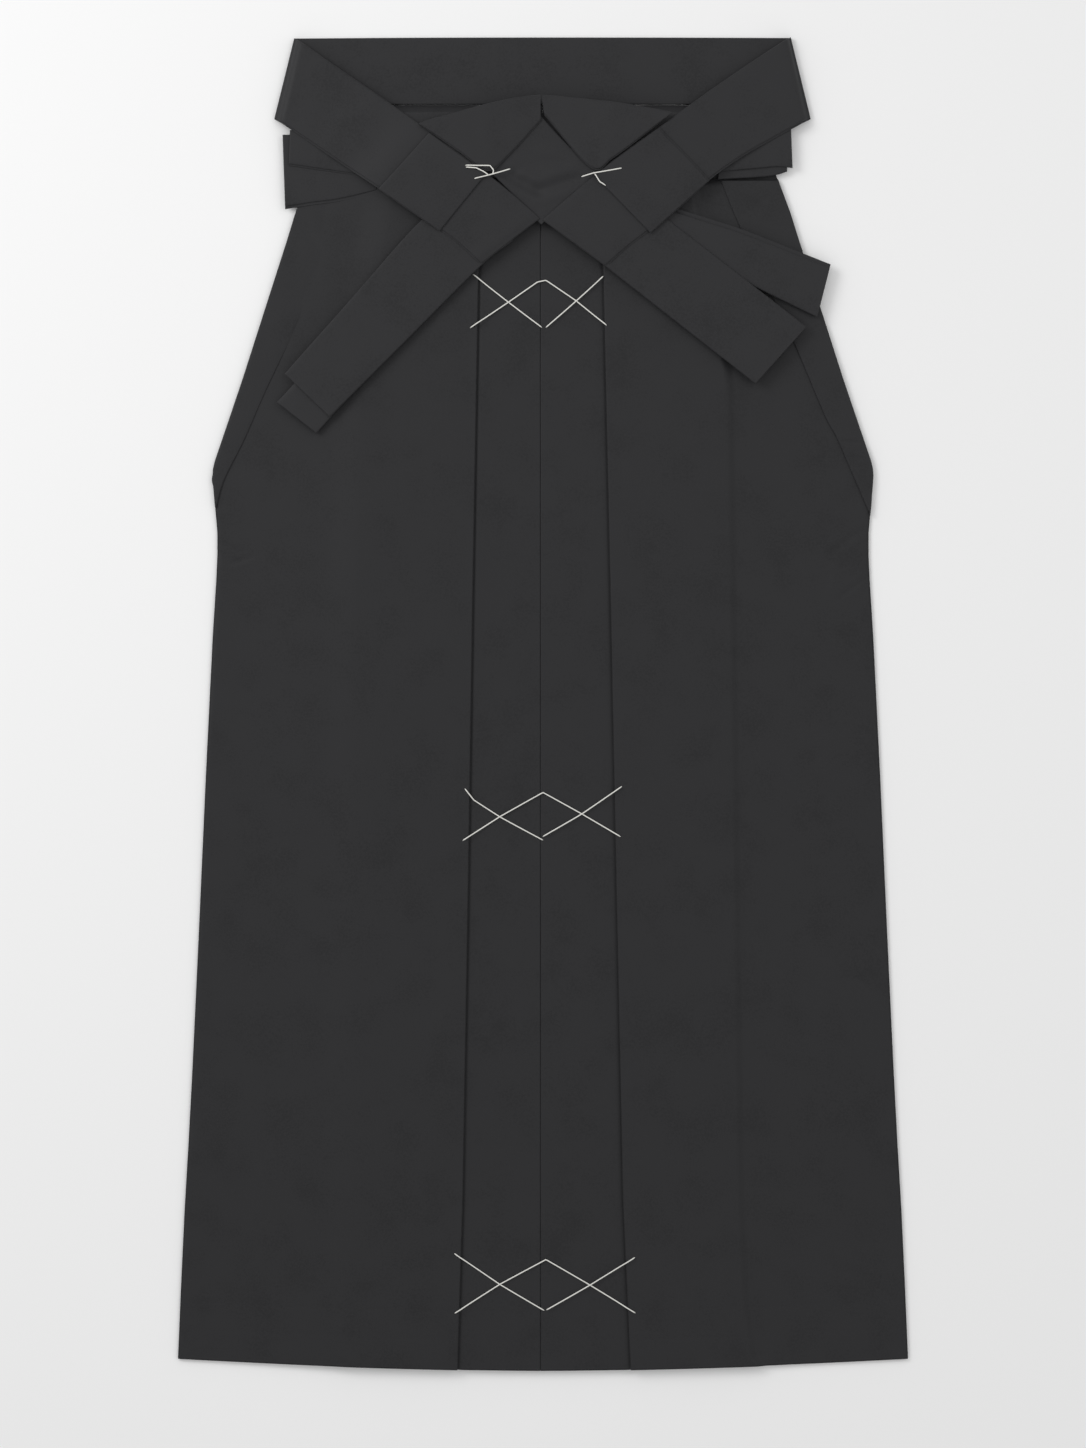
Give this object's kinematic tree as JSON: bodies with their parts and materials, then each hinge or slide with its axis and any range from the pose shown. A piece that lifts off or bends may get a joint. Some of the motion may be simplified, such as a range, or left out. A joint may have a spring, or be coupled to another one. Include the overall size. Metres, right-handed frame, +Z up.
{
  "type": "hakama trousers",
  "caption": "Pleated hakama trousers folded flat and face up, with tapered side folds and flat waist ties laced into a lattice, their ends fanned out below.",
  "frame": {"origin": "bottom centre of the bounding box, on the surface that the garment lies on", "axes": "+Y along the garment from the hem to the waist, +Z up out of the surface towards the viewer, +X to the viewer's right"},
  "size_m": [0.57, 1.041, 0.0164],
  "materials": {
    "pleated_cloth": "plain charcoal-black woven cloth with a faint satin sheen",
    "tie_cloth": "the same charcoal-black cloth, folded flat in several thicknesses"
  },
  "bodies": {
    "root": {"back_panel_left": "pleated_cloth", "back_panel_right": "pleated_cloth", "inner_leg_left": "pleated_cloth", "inner_leg_right": "pleated_cloth", "front_panel_left": "pleated_cloth", "front_panel_right": "pleated_cloth", "side_fold_left": "pleated_cloth", "side_fold_right": "pleated_cloth", "back_waistband": "tie_cloth", "front_waistband": "tie_cloth", "back_tie_left": "tie_cloth", "back_tie_right": "tie_cloth", "upper_fan_left": "tie_cloth", "upper_fan_right": "tie_cloth", "diamond_left": "tie_cloth", "diamond_right": "tie_cloth", "diamond_centre": "tie_cloth", "tail_left_upper": "tie_cloth", "tail_left_lower": "tie_cloth", "tail_right_upper": "tie_cloth", "tail_right_lower": "tie_cloth", "loop_left_upper": "tie_cloth", "loop_left_lower": "tie_cloth", "loop_right_upper": "tie_cloth", "loop_right_lower": "tie_cloth"}
  },
  "joints": []
}
